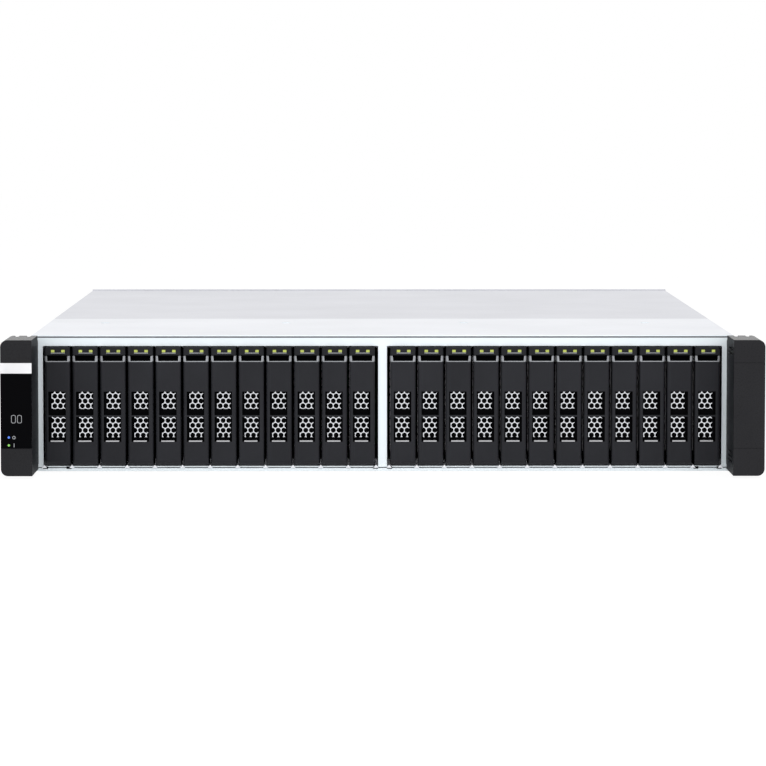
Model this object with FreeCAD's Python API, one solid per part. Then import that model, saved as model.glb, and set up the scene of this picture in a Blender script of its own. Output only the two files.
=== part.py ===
import FreeCAD, Part
import math
import os
from FreeCAD import Vector

# Two-unit rackmount storage server: a welded steel chassis with two groups of twelve upright
# drive bays in front, two stacked controller canisters and two power supplies behind.
# Millimetres, X to the right seen from the front, Y to the back, Z up, origin under the middle
# of the whole unit. In this script y is counted back from the front plane of the chassis.

# Driving dimensions of the rack and the chassis
PANEL_WIDTH = 482.6
UNIT_HEIGHT = 87.8
CHASSIS_WIDTH = 451.0
CHASSIS_DEPTH = 550.0
SHEET = 1.2
TOP_FLANGE = 5.0
COVER_SEAM_Y = 178.0
COVER_LIP = 1.1
SKIRT_DROP = 2.6
FRONT_GROOVES = ((2.0, 2.6), (86.1, 86.9))
GROOVE_DEPTH = 0.5
EAR_REACH = 48.5
HANDLE_REACH = 26.0

# Driving dimensions of the drive bays
BAYS_PER_SIDE = 12
BAY_PITCH = 17.8
DIVIDER_WIDTH = 5.8
DIVIDER_MARGIN = 1.35
OUTER_MARGIN = 0.5
BAY_BOTTOM = 3.35
BAY_TOP = 80.75
TRAY_GAP = 0.4
GUIDE_FRONT_Y = 24.0

# Driving dimensions of the pull lever, which turns about a pin at its foot
LEVER_WIDTH = 16.2
LEVER_PROUD = 3.0
LEVER_BACK = 7.0
LEVER_TOP = 74.6
EDGE_CHAMFER = 1.0
NOTCH_DEPTH = 3.3
NOTCH_LIP = 0.9
HORN_WIDTH = 1.7
SHOULDER_DROP = 0.8
FOOT_RADIUS = 4.0
LUG_HALF = 1.6
LUG_ROOM = ((7.0, 2.5), (-2.0, 2.5), (-2.6, -1.0), (2.43, -5.0), (7.0, -5.0))
PIN_RADIUS = 1.25
PIN_FLAT = 0.4
PIN_CLEARANCE = 0.05
WINDOW_WIDTH = 10.0
UPPER_WINDOW = (36.4, 51.6)
LOWER_WINDOW = (18.9, 35.3)
GRIP_BAR_X = (-4.7, 3.9)
GRIP_BAR_HEIGHT = 1.3

# Driving dimensions of the tray: moulded frame and cap, sled and drive
FRAME_WALL = 1.2
LATCH_BLOCK = 5.4
LENS_X = (-3.1, 3.5)
LENS_WIDTH = 2.4
LENS_Z = (76.9, 78.5)
DRIVE = (15.0, 100.4, 69.85)
DRIVE_BOTTOM = 7.0
SLED_SHEET = 1.0
GRILLE_Y = 18.0
HEX_ACROSS_FLATS = 5.4
HEX_PITCH = 6.2

# Driving dimensions of the midplane
MIDPLANE_Y = 136.0
MIDPLANE_THICKNESS = 2.4
MIDPLANE_Z = (2.0, 84.0)
AIR_SLOT_X = (60.0, 165.0)
AIR_SLOT_WIDTH = 84.0
AIR_SLOT_Z = ((8.0, 18.0), (68.0, 78.0))
CONNECTOR = (6.0, 13.0, 40.0)
CONNECTOR_Z = 23.0
POWER_BOARD_X = (150.0, 214.0)
POWER_BOARD_BACK_Y = 238.0
BOARD_THICKNESS = 1.6

# Driving dimensions of the units behind the midplane
REAR_FACE_Y = 548.0
UNIT_BAY_HEIGHT = 40.0
SLIDE_GAP = 0.3
CANISTER_X = (-222.0, 140.5)
CANISTER_LENGTH = 380.0
CAGE_ROW_X = -96.0
CAGE_PITCH = 14.6
CAGE_WIDTH = 13.6
SOCKET_ROW_X = -22.0
SOCKET_PITCH = 17.0
SOCKET_WIDTH = 12.0
PORT_LOW = 8.0
PORT_HEIGHT = 9.0
PORT_DEPTH = 14.0
VENT_X = 50.0
VENT_PITCH = 18.0
VENT_WIDTH = 14.0
PLUG_X = (-160.0, 80.0)
EJECTOR_X = -210.0
EJECTOR_LENGTH = 98.0
EJECTOR_HALF = 4.5
EJECTOR_PIN_RADIUS = 2.0
EJECTOR_PIN_Y = 5.5
EJECTOR_LUG_Z = 9.0
SUPPLY_X = (145.5, 222.0)
SUPPLY_LENGTH = 305.0
SUPPLY_SHEET = 1.0
INLET_X = (6.0, 34.0)
INLET_Z = (9.0, 30.0)
SUPPLY_SLOT_X = 41.0
SUPPLY_SLOT_PITCH = 7.0
HANDLE_X = (37.0, 71.0)
HANDLE_WIDTH = 10.0
HANDLE_BAR = (3.0, 2.4)
LATCH_X = (8.0, 30.0)

# Driving dimensions of the rack ears
EAR_INNER = 221.5
EAR_CORNER = 4.5
EAR_BOTTOM = 1.6
EAR_TOP = 87.7
EAR_WALL = 2.4
EAR_RIM = 6.0
EAR_NOTCH_X = (7.0, 14.4)
EAR_SLOT_Y = (-40.0, -16.0)
EAR_SLOT_Z = (8.7, 11.8, 14.6)
EAR_SLOT_HEIGHT = 1.2
FLANGE = 3.0
LEG_LENGTH = 60.0
BADGE = (66.6, 73.3)
BADGE_THICKNESS = 1.2
SCREEN = (19.1, 66.3)
SCREEN_THICKNESS = 1.6
RACK_HOLE_X = 465.1 / 2
RACK_HOLE_SPACING = 44.45
RACK_HOLE_RADIUS = 3.4

# Values worked out from the driving dimensions
FRONT = (EAR_REACH - REAR_FACE_Y - HANDLE_REACH) / 2
HALF_WIDTH = CHASSIS_WIDTH / 2
HALF_LEVER = LEVER_WIDTH / 2
BAY_OUTER = DIVIDER_WIDTH / 2 + DIVIDER_MARGIN + BAYS_PER_SIDE * BAY_PITCH
PIVOT_Y = FOOT_RADIUS - LEVER_PROUD
PIVOT_Z = BAY_BOTTOM + TRAY_GAP + FOOT_RADIUS
NOTCH_BOTTOM = LEVER_TOP - NOTCH_DEPTH
CAP_BOTTOM = LEVER_TOP + TRAY_GAP
CAP_TOP = BAY_TOP - TRAY_GAP
SLED_TOP = DRIVE_BOTTOM + DRIVE[2] + SLED_SHEET
SHELF = SHEET + UNIT_BAY_HEIGHT + 2 * SLIDE_GAP
UNIT_LOW = (SHEET + SLIDE_GAP, SHELF + SHEET + SLIDE_GAP)
EAR_OUTER = PANEL_WIDTH / 2
EAR_MIDDLE = (EAR_BOTTOM + EAR_TOP) / 2


def block(x, y, z):
    """A rectangular solid between pairs of limits."""
    corner = Vector(x[0], FRONT + y[0], z[0])
    return Part.makeBox(x[1] - x[0], y[1] - y[0], z[1] - z[0], corner)


def outline(points):
    """A closed wire through points, where a pair of points in one entry is an arc's middle and end."""
    edges = []
    last = points[0]
    for entry in list(points[1:]) + [points[0]]:
        if isinstance(entry, tuple):
            edges.append(Part.Arc(last, entry[0], entry[1]).toShape())
            last = entry[1]
        elif last.distanceToPoint(entry) > 1e-6:
            edges.append(Part.LineSegment(last, entry).toShape())
            last = entry
    return Part.Wire(edges)


def along_x(points, x):
    """A prism along X between two limits, from (y, z) points; an arc is ((y, z), (y, z))."""
    def place(p):
        if isinstance(p[0], tuple):
            return place(p[0]), place(p[1])
        return Vector(x[0], FRONT + p[0], p[1])
    return Part.Face(outline([place(p) for p in points])).extrude(Vector(x[1] - x[0], 0, 0))


def along_y(points, y):
    """A prism along Y between two limits, from (x, z) points; an arc is ((x, z), (x, z))."""
    def place(p):
        if isinstance(p[0], tuple):
            return place(p[0]), place(p[1])
        return Vector(p[0], FRONT + y[0], p[1])
    return Part.Face(outline([place(p) for p in points])).extrude(Vector(0, y[1] - y[0], 0))


def along_z(points, z):
    """A prism along Z between two limits, from (x, y) points; an arc is ((x, y), (x, y))."""
    def place(p):
        if isinstance(p[0], tuple):
            return place(p[0]), place(p[1])
        return Vector(p[0], FRONT + p[1], z[0])
    return Part.Face(outline([place(p) for p in points])).extrude(Vector(0, 0, z[1] - z[0]))


def mirrored(shape):
    """The same shape on the other side of the middle plane."""
    return shape.mirror(Vector(0, 0, 0), Vector(1, 0, 0))


def grown(limits, by):
    """A pair of limits moved apart by the same amount at both ends."""
    return limits[0] - by, limits[1] + by


def span(half):
    """A pair of limits either side of zero."""
    return -half, half


def chamfered_plan(y, z):
    """A bar of the lever's width between two limits, its two upright front edges chamfered."""
    size = EDGE_CHAMFER
    return along_z([(-HALF_LEVER + size, y[0]), (HALF_LEVER - size, y[0]), (HALF_LEVER, y[0] + size),
                    (HALF_LEVER, y[1]), (-HALF_LEVER, y[1]), (-HALF_LEVER, y[0] + size)], z)


def bay_centres():
    """The middle of each bay, from left to right."""
    first = BAY_OUTER - (BAYS_PER_SIDE - 0.5) * BAY_PITCH
    right = [first + n * BAY_PITCH for n in range(BAYS_PER_SIDE)]
    return [-x for x in reversed(right)] + right


def flattened_pin(radius, length):
    """A pin along Z from the origin, round to two sides and flat on the other two, so that it can't turn."""
    flat = PIN_FLAT * radius
    reach = math.sqrt(radius ** 2 - flat ** 2)
    edge = [Vector(-flat, -reach, 0), (Vector(0, -radius, 0), Vector(flat, -reach, 0)),
            Vector(flat, reach, 0), (Vector(0, radius, 0), Vector(-flat, reach, 0))]
    return Part.Face(outline(edge)).extrude(Vector(0, 0, length))


def hexagon_cutter(x, z):
    """A hexagonal plug through the front wall of a sled, point upwards."""
    corner = HEX_ACROSS_FLATS / math.sqrt(3)
    turns = [math.radians(30 + 60 * n) for n in range(6)]
    points = [(x + corner * math.cos(a), z + corner * math.sin(a)) for a in turns]
    return along_y(points, (GRILLE_Y - 1, GRILLE_Y + SLED_SHEET + 1))


# Drive tray: sled, moulded frame, cap with two lenses, hinge pin and drive

def sled():
    """Steel strip bent round the drive, its front wall pierced with honeycomb behind each window."""
    low, high = DRIVE_BOTTOM, DRIVE_BOTTOM + DRIVE[2]
    back = GRILLE_Y + SLED_SHEET + DRIVE[1] + 2
    strip = along_x([(GRILLE_Y, low - SLED_SHEET), (back, low - SLED_SHEET), (back, low),
                     (GRILLE_Y + SLED_SHEET, low), (GRILLE_Y + SLED_SHEET, high), (back, high),
                     (back, high + SLED_SHEET), (GRILLE_Y, high + SLED_SHEET)],
                    span(DRIVE[0] / 2 + 0.1))
    row = HEX_PITCH * math.sqrt(3) / 2
    holes = []
    for window in (UPPER_WINDOW, LOWER_WINDOW):
        middle = sum(window) / 2
        holes += [hexagon_cutter(side * HEX_PITCH / 4, middle - side * row / 2) for side in (-1, 1)]
    return strip.cut(holes)


def tray_frame():
    """Moulded tube between lever and sled, thick at the top for the latch, with two lugs for the hinge pin."""
    front = LEVER_BACK + 0.6
    low, high = BAY_BOTTOM + 0.6, CAP_BOTTOM
    tube = block(span(HALF_LEVER), (front, GRILLE_Y), (low, high))
    tube = tube.cut(block(span(HALF_LEVER - FRAME_WALL), (front - 1, GRILLE_Y + 1),
                          (low + FRAME_WALL, high - LATCH_BLOCK)))
    lug = block((HALF_LEVER - FRAME_WALL, HALF_LEVER), (PIVOT_Y - LUG_HALF, front),
                (PIVOT_Z - LUG_HALF, PIVOT_Z + LUG_HALF))
    return tube.fuse([lug, mirrored(lug)]).removeSplitter()


def tray_cap():
    """Light-pipe cap over the lever."""
    return chamfered_plan((-LEVER_PROUD, GRILLE_Y), (CAP_BOTTOM, CAP_TOP))


def cap_lenses():
    """Two light-pipe ends, a hair proud of the cap."""
    front = (-LEVER_PROUD - 0.3, -LEVER_PROUD)
    return [block((x - LENS_WIDTH / 2, x + LENS_WIDTH / 2), front, LENS_Z) for x in LENS_X]


def hinge_pin():
    """Steel pin between the lugs of the frame."""
    half = HALF_LEVER - FRAME_WALL
    pin = flattened_pin(PIN_RADIUS, 2 * half)
    pin.rotate(Vector(0, 0, 0), Vector(0, 1, 0), 90)
    return pin.translated(Vector(-half, FRONT + PIVOT_Y, PIVOT_Z))


def drive():
    """Closed drive case between the arms of the sled."""
    front = GRILLE_Y + SLED_SHEET
    return block(span(DRIVE[0] / 2), (front, front + DRIVE[1]), (DRIVE_BOTTOM, DRIVE_BOTTOM + DRIVE[2]))


def tray():
    """All pieces that leave the bay together, apart from the lever."""
    return Part.makeCompound([sled(), tray_frame(), tray_cap(), *cap_lenses(), hinge_pin(), drive()])


def lug_room():
    """Room at one side of the lever's foot for a lug of the frame, open backwards for the lever's swing."""
    return along_x([(PIVOT_Y + y, PIVOT_Z + z) for y, z in LUG_ROOM],
                   (HALF_LEVER - FRAME_WALL - 0.4, HALF_LEVER + 1))


def lever():
    """Pull lever with two windows, a notch at the top and a faceted foot with a square bore on the pin."""
    face = -LEVER_PROUD
    slope = FOOT_RADIUS * math.sqrt(0.5)
    shoulder = NOTCH_BOTTOM - SHOULDER_DROP
    body = along_x([(face, PIVOT_Z), (face, LEVER_TOP), (0, LEVER_TOP), (0, shoulder),
                    (LEVER_BACK, shoulder), (LEVER_BACK, PIVOT_Z + 3), (PIVOT_Y + slope, PIVOT_Z - slope),
                    (PIVOT_Y, PIVOT_Z - FOOT_RADIUS), (PIVOT_Y - slope, PIVOT_Z - slope)], span(HALF_LEVER))
    body = body.common(chamfered_plan((face, LEVER_BACK), (0, LEVER_TOP)))
    notch = along_x([(face - 1, NOTCH_BOTTOM - NOTCH_LIP - 1), (face + NOTCH_LIP, NOTCH_BOTTOM),
                     (1, NOTCH_BOTTOM), (1, LEVER_TOP + 1), (face - 1, LEVER_TOP + 1)],
                    span(HALF_LEVER - HORN_WIDTH))
    cutters = [notch]
    for window in (UPPER_WINDOW, LOWER_WINDOW):
        cutters.append(block(span(WINDOW_WIDTH / 2), (face - 1, LEVER_BACK + 1), window))
    reach = PIN_RADIUS + PIN_CLEARANCE
    cutters.append(block(span(HALF_LEVER + 1), (PIVOT_Y - reach, PIVOT_Y + reach),
                         (PIVOT_Z - reach, PIVOT_Z + reach)))
    cutters += [lug_room(), mirrored(lug_room())]
    return body.cut(cutters)


def grip_bar():
    """Bright bar that lies on the sill of the lower window."""
    sill = LOWER_WINDOW[0]
    return block(GRIP_BAR_X, (-LEVER_PROUD - 0.2, -LEVER_PROUD + 2), (sill, sill + GRIP_BAR_HEIGHT))


# Chassis, cover and rack ears

def chassis():
    """Welded sheet-steel body: pan, front frame with two bay openings, front roof and shelves."""
    inner = HALF_WIDTH - SHEET
    roof_under = UNIT_HEIGHT - SHEET
    edge = inner - TOP_FLANGE
    pan = along_y([(-HALF_WIDTH, 0), (HALF_WIDTH, 0), (HALF_WIDTH, roof_under), (edge, roof_under),
                   (edge, roof_under - SHEET), (inner, roof_under - SHEET), (inner, SHEET),
                   (-inner, SHEET), (-inner, roof_under - SHEET), (-edge, roof_under - SHEET),
                   (-edge, roof_under), (-HALF_WIDTH, roof_under)], (0, CHASSIS_DEPTH))
    front = block(span(HALF_WIDTH), (0, SHEET), (0, UNIT_HEIGHT))
    opening = block((DIVIDER_WIDTH / 2, BAY_OUTER + OUTER_MARGIN), (-1, SHEET + 1), (BAY_BOTTOM, BAY_TOP))
    pieces = [front.cut([opening, mirrored(opening)])]
    pieces.append(block(span(HALF_WIDTH), (0, COVER_SEAM_Y - 0.2), (roof_under, UNIT_HEIGHT)))
    divider = block((DIVIDER_WIDTH / 2 - SHEET, DIVIDER_WIDTH / 2), (0, MIDPLANE_Y), (0, UNIT_HEIGHT))
    pieces += [divider, mirrored(divider)]
    for guide in (guide_channel(DRIVE_BOTTOM - SLED_SHEET - TRAY_GAP, -1, 0),
                  guide_channel(SLED_TOP + TRAY_GAP, 1, UNIT_HEIGHT)):
        pieces += [guide, mirrored(guide)]
    between = (CANISTER_X[1] + SUPPLY_X[0] - SHEET) / 2
    pieces.append(block((between, between + SHEET), (COVER_SEAM_Y, CHASSIS_DEPTH), (0, roof_under - 0.6)))
    pieces.append(block(span(inner), (COVER_SEAM_Y + 2, CHASSIS_DEPTH), (SHELF, SHELF + SHEET)))
    grooves = [block(span(HALF_WIDTH + 1), (-1, GROOVE_DEPTH), z) for z in FRONT_GROOVES]
    return pan.fuse(pieces).removeSplitter().cut(grooves)


def guide_channel(face, up, seat):
    """Sheet channel across one group of bays, its face against the sleds and two legs on floor or roof."""
    front, back = GUIDE_FRONT_Y, MIDPLANE_Y - 14
    inside = face + up * SHEET
    return along_x([(front, face), (back, face), (back, seat), (back - SHEET, seat), (back - SHEET, inside),
                    (front + SHEET, inside), (front + SHEET, seat), (front, seat)],
                   (DIVIDER_WIDTH / 2, HALF_WIDTH - SHEET))


def top_cover():
    """Lift-off rear cover with a skirt inside each side wall and a turned-up lip at the back."""
    under = UNIT_HEIGHT - SHEET
    plate = block(span(HALF_WIDTH), (COVER_SEAM_Y, CHASSIS_DEPTH), (under, UNIT_HEIGHT))
    lip = block(span(HALF_WIDTH), (CHASSIS_DEPTH - SHEET, CHASSIS_DEPTH), (under, UNIT_HEIGHT + COVER_LIP))
    inside = HALF_WIDTH - SHEET - TOP_FLANGE - 0.4
    skirt = block((inside - SHEET, inside), (COVER_SEAM_Y + 8, REAR_FACE_Y - 8),
                  (UNIT_HEIGHT - SKIRT_DROP, UNIT_HEIGHT))
    return plate.fuse([lip, skirt, mirrored(skirt)]).removeSplitter()


def ear_outline():
    """Outline of an ear on the left side, round at its two outer corners."""
    corner = EAR_CORNER
    bend = corner * (1 - math.sqrt(0.5))
    return [(-EAR_INNER, EAR_BOTTOM), (-EAR_INNER, EAR_TOP), (-EAR_OUTER + corner, EAR_TOP),
            ((-EAR_OUTER + bend, EAR_TOP - bend), (-EAR_OUTER, EAR_TOP - corner)),
            (-EAR_OUTER, EAR_BOTTOM + corner),
            ((-EAR_OUTER + bend, EAR_BOTTOM + bend), (-EAR_OUTER + corner, EAR_BOTTOM))]


def ear_housing():
    """Moulded hollow cover of the left ear, open at the back, with notches on top and slots inside."""
    body = along_y(ear_outline(), (-EAR_REACH, -FLANGE))
    edge = block((-HALF_WIDTH + 0.2, -EAR_INNER), (-FLANGE - 2, -0.1), (EAR_BOTTOM + 3, EAR_TOP - 3))
    cutters = [block((-EAR_OUTER + EAR_WALL, -EAR_INNER - EAR_WALL), (-EAR_REACH + EAR_RIM, 0),
                     (EAR_BOTTOM + EAR_RIM, EAR_TOP - EAR_RIM))]
    for step in EAR_NOTCH_X:
        x = -EAR_OUTER + step
        cutters.append(along_y([(x - 1.3, EAR_TOP + 0.1), (x, EAR_TOP - 1.4), (x + 1.3, EAR_TOP + 0.1)],
                               (-FLANGE - 10, 0)))
    for z in EAR_SLOT_Z:
        cutters.append(block((-EAR_INNER - EAR_WALL - 1, -EAR_INNER + 1), EAR_SLOT_Y, (z, z + EAR_SLOT_HEIGHT)))
    return body.fuse(edge).removeSplitter().cut(cutters)


def ear_bracket():
    """Steel angle of the left ear: rack flange with two screw holes and a leg on the chassis side."""
    z = (EAR_BOTTOM + 4, EAR_TOP - 4)
    flange = block((-EAR_OUTER + 0.8, -HALF_WIDTH), (-FLANGE, 0), z)
    leg = block((-HALF_WIDTH - 2, -HALF_WIDTH), (-FLANGE, LEG_LENGTH), z)
    holes = []
    for side in (-1, 1):
        middle = Vector(-RACK_HOLE_X, FRONT - FLANGE - 1, EAR_MIDDLE + side * RACK_HOLE_SPACING / 2)
        holes.append(Part.makeCylinder(RACK_HOLE_RADIUS, FLANGE + 2, middle, Vector(0, 1, 0)))
    return flange.fuse(leg).cut(holes).removeSplitter()


def seam_cutters():
    """Shallow grooves across the face of the plain right ear, where the left one has its inserts."""
    across = (EAR_INNER - 1, EAR_OUTER + 1)
    depth = (-EAR_REACH - 1, -EAR_REACH + 0.25)
    return [block(across, depth, (z - 0.15, z + 0.15)) for z in (SCREEN[0], BADGE[1])]


def left_ear():
    """Left ear: housing with recesses for badge and screen, blank badge plate and bracket."""
    across = (-EAR_OUTER - 1, -EAR_INNER + 1)
    screen = block(across, (-EAR_REACH - 1, -EAR_REACH + SCREEN_THICKNESS), SCREEN)
    badge_seat = block(across, (-EAR_REACH - 1, -EAR_REACH + BADGE_THICKNESS), BADGE)
    badge = block((-EAR_OUTER, -EAR_INNER), (-EAR_REACH, -EAR_REACH + BADGE_THICKNESS), BADGE)
    return Part.makeCompound([ear_housing().cut([screen, badge_seat]), badge, ear_bracket()])


def right_ear():
    """Right ear: the plain housing and its bracket."""
    return Part.makeCompound([mirrored(ear_housing()).cut(seam_cutters()), mirrored(ear_bracket())])


def display_window():
    """Gloss window over the status display of the left ear."""
    return block((-EAR_OUTER, -EAR_INNER), (-EAR_REACH, -EAR_REACH + SCREEN_THICKNESS), SCREEN)


# Midplane, canisters and power supplies

def midplane():
    """Circuit board across the unit with a drive connector for each bay and slots for air."""
    back = MIDPLANE_Y + MIDPLANE_THICKNESS
    board = block(span(HALF_WIDTH - 3), (MIDPLANE_Y, back), MIDPLANE_Z)
    slots = []
    for middle in (*AIR_SLOT_X, *(-x for x in AIR_SLOT_X)):
        x = (middle - AIR_SLOT_WIDTH / 2, middle + AIR_SLOT_WIDTH / 2)
        slots += [block(x, (MIDPLANE_Y - 1, back + 1), z) for z in AIR_SLOT_Z]
    half = CONNECTOR[0] / 2
    connectors = [block((x - half, x + half), (MIDPLANE_Y - CONNECTOR[1], MIDPLANE_Y),
                        (CONNECTOR_Z, CONNECTOR_Z + CONNECTOR[2])) for x in bay_centres()]
    low = UNIT_LOW[1] + UNIT_BAY_HEIGHT / 2 - 5
    power_board = block(POWER_BOARD_X, (back, POWER_BOARD_BACK_Y), (low, low + BOARD_THICKNESS))
    return Part.makeCompound([board.cut(slots), *connectors, power_board])


def sheet_case(x, y, z, sheet):
    """Floor, lid and two sides of a case, open towards the midplane, and its rear wall as the last one."""
    inside_x, inside_z = grown(x, -sheet), grown(z, -sheet)
    floor = block(x, y, (z[0], inside_z[0]))
    lid = block(x, y, (inside_z[1], z[1]))
    sides = [block((x[0], inside_x[0]), y, inside_z), block((inside_x[1], x[1]), y, inside_z)]
    return [floor, lid, *sides, block(inside_x, (y[1] - sheet, y[1]), inside_z)]


def canister(low):
    """Controller canister: sheet case with board, plugs to the midplane and rear port blocks."""
    high = low + UNIT_BAY_HEIGHT
    front, rear = REAR_FACE_Y - CANISTER_LENGTH, REAR_FACE_Y
    *plates, wall = sheet_case(CANISTER_X, (front, rear), (low, high), SHEET)
    ports = [port_block(low, CAGE_ROW_X, 4, CAGE_PITCH, CAGE_WIDTH),
             port_block(low, SOCKET_ROW_X, 2, SOCKET_PITCH, SOCKET_WIDTH)]
    cutters = [block((port.BoundBox.XMin, port.BoundBox.XMax), (rear - SHEET - 1, rear + 1),
                     (port.BoundBox.ZMin, port.BoundBox.ZMax)) for port in ports]
    for n in range(4):
        x = VENT_X + n * VENT_PITCH
        cutters.append(block((x, x + VENT_WIDTH), (rear - 4, rear + 1), (low + 8, high - 8)))
    board_low = low + 5
    board_high = board_low + BOARD_THICKNESS
    board = block(grown(CANISTER_X, -SHEET), (front, rear - 34), (board_low, board_high))
    plugs = [block((x - 30, x + 30), (front - 20, front + 8), (board_high, low + 18)) for x in PLUG_X]
    lugs = [block((EJECTOR_X - 5, EJECTOR_X + 5), (rear, rear + 10), (z, z + 2))
            for z in (low + EJECTOR_LUG_Z, high - EJECTOR_LUG_Z - 2)]
    pin = flattened_pin(EJECTOR_PIN_RADIUS, UNIT_BAY_HEIGHT - 2 * EJECTOR_LUG_Z - 4)
    pin = pin.translated(Vector(EJECTOR_X, FRONT + rear + EJECTOR_PIN_Y, low + EJECTOR_LUG_Z + 2))
    return Part.makeCompound([*plates, wall.cut(cutters), *ports, board, *plugs, *lugs, pin])


def port_block(low, x, count, pitch, width):
    """A row of sockets in one shielded block, its face level with the canister's rear wall."""
    wall = (pitch - width) / 2
    z = (low + PORT_LOW + wall, low + PORT_LOW + wall + PORT_HEIGHT)
    body = block((x, x + count * pitch), (REAR_FACE_Y - 30, REAR_FACE_Y), grown(z, wall))
    sockets = [block((x + n * pitch + wall, x + (n + 1) * pitch - wall),
                     (REAR_FACE_Y - PORT_DEPTH, REAR_FACE_Y + 1), z) for n in range(count)]
    return body.cut(sockets)


def canister_lever(low):
    """Ejector lever that lies along the rear wall of a canister and turns about an upright pin."""
    x, y = EJECTOR_X, REAR_FACE_Y + EJECTOR_PIN_Y
    half = EJECTOR_HALF
    slope = half * math.sqrt(0.5)
    tip = x + EJECTOR_LENGTH
    z = grown((low + EJECTOR_LUG_Z + 2, low + UNIT_BAY_HEIGHT - EJECTOR_LUG_Z - 2), -SLIDE_GAP)
    bar = along_z([(x, y - half), (tip - 6, y - half), (tip, y + 4), (tip - 6, y + 4), (tip - 14, y - 0.5),
                   (x + 20, y - 0.5), (x, y + half), (x - slope, y + slope), (x - half, y),
                   (x - slope, y - slope)], z)
    reach = EJECTOR_PIN_RADIUS + PIN_CLEARANCE
    return bar.cut(block((x - reach, x + reach), (y - reach, y + reach), grown(z, 1)))


def supply(low):
    """Power supply: sheet case with air slots, inlet socket, loop handle and latch tab."""
    high = low + UNIT_BAY_HEIGHT
    left = SUPPLY_X[0]
    front, rear = REAR_FACE_Y - SUPPLY_LENGTH, REAR_FACE_Y
    *plates, wall = sheet_case(SUPPLY_X, (front, rear), (low, high), SUPPLY_SHEET)
    inlet_x = (left + INLET_X[0], left + INLET_X[1])
    inlet_z = (low + INLET_Z[0], low + INLET_Z[1])
    inlet = block(inlet_x, (rear - 22, rear), inlet_z)
    inlet = inlet.cut(block(grown(inlet_x, -2), (rear - 16, rear + 1), grown(inlet_z, -2)))
    cutters = [block(inlet_x, (rear - 4, rear + 1), inlet_z)]
    for n in range(4):
        x = left + SUPPLY_SLOT_X + n * SUPPLY_SLOT_PITCH
        cutters.append(block((x, x + 4), (rear - 4, rear + 1), (low + 5, high - 5)))
    latch = block((left + LATCH_X[0], left + LATCH_X[1]), (rear, rear + 6), (high - 6.5, high - 3.5))
    return Part.makeCompound([*plates, wall.cut(cutters), inlet, handle(low + UNIT_BAY_HEIGHT / 2), latch])


def handle(middle):
    """Flat loop handle on the rear wall of a power supply."""
    left, right = (SUPPLY_X[0] + x for x in HANDLE_X)
    foot, bar = HANDLE_BAR
    rear, out = REAR_FACE_Y, REAR_FACE_Y + HANDLE_REACH
    return along_z([(left, rear), (left + foot, rear), (left + foot, out - bar), (right - foot, out - bar),
                    (right - foot, rear), (right, rear), (right, out), (left, out)],
                   (middle - HANDLE_WIDTH / 2, middle + HANDLE_WIDTH / 2))


def main():
    os.makedirs("parts", exist_ok=True)
    nodes = {
        "chassis": chassis(),
        "top_cover": top_cover(),
        "left_ear": left_ear(),
        "right_ear": right_ear(),
        "display_window": display_window(),
        "midplane": midplane(),
    }
    for name, low in zip("ba", UNIT_LOW):
        nodes[f"controller_{name}"] = canister(low)
        nodes[f"controller_lever_{name}"] = canister_lever(low)
        nodes[f"power_supply_{name}"] = supply(low)
    one_tray = tray()
    one_lever = Part.makeCompound([lever(), grip_bar()])
    for number, x in enumerate(bay_centres(), start=1):
        nodes[f"tray_{number:02d}"] = one_tray.translated(Vector(x, 0, 0))
        nodes[f"lever_{number:02d}"] = one_lever.translated(Vector(x, 0, 0))
    for name, shape in nodes.items():
        shape.exportStep(os.path.join("parts", name + ".step"))
    print(len(nodes), "nodes written")


main()
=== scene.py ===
# %% [markdown]
# A rackmount storage server, dressed around its fixed CAD frame. The frame gives every moving body
# its place, so the first step is to load it.

# %% Load the fixed frame
import bpy
import bmesh
import math
from mathutils import Matrix, Vector


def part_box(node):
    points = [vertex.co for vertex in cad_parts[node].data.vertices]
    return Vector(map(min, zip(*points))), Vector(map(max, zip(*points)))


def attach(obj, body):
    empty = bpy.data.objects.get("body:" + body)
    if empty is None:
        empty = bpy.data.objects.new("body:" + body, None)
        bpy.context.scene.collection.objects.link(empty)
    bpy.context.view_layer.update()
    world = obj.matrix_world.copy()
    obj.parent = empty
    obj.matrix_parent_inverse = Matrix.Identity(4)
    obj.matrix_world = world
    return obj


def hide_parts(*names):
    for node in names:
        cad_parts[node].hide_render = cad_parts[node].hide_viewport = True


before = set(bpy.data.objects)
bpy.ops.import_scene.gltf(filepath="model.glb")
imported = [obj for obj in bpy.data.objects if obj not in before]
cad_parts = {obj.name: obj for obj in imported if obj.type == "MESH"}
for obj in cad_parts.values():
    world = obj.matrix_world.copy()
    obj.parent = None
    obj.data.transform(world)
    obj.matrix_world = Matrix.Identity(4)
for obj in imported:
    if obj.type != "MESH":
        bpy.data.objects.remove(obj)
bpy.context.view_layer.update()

# %% [markdown]
# All sizes below are millimetres as on a drawing of the unit: x to the right, y back from the front
# plane of the chassis, z up. One function turns such a point into Blender's metres, so each number can
# be compared with a ruler held to the real thing.

# %% From drawing millimetres to metres
MM = 0.001
FRONT_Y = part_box("chassis")[0][1]
BAYS = [f"{number:02d}" for number in range(1, 25)]


def place(x, y, z):
    """A point of the drawing in metres."""
    return Vector((x * MM, FRONT_Y + y * MM, z * MM))


def bay_middle(bay):
    """The x of one bay's middle in millimetres."""
    low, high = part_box("lever_" + bay)
    return (low[0] + high[0]) / 2 / MM


print("front plane at", round(FRONT_Y, 4), "first bay at", round(bay_middle("01"), 2))

# %% [markdown]
# The camera stands well back and a little above the unit, as for a catalogue picture: the roof shows
# as a thin slope and the uprights stay upright. A long lens from far away keeps both ears the same size.

# %% Camera of the picture
CAMERA_AT = (-11.87, -2433, 243.0)
AIM_AT = (0.29, 0, 56.9)
FOCAL_LENGTH = 178.2

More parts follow.
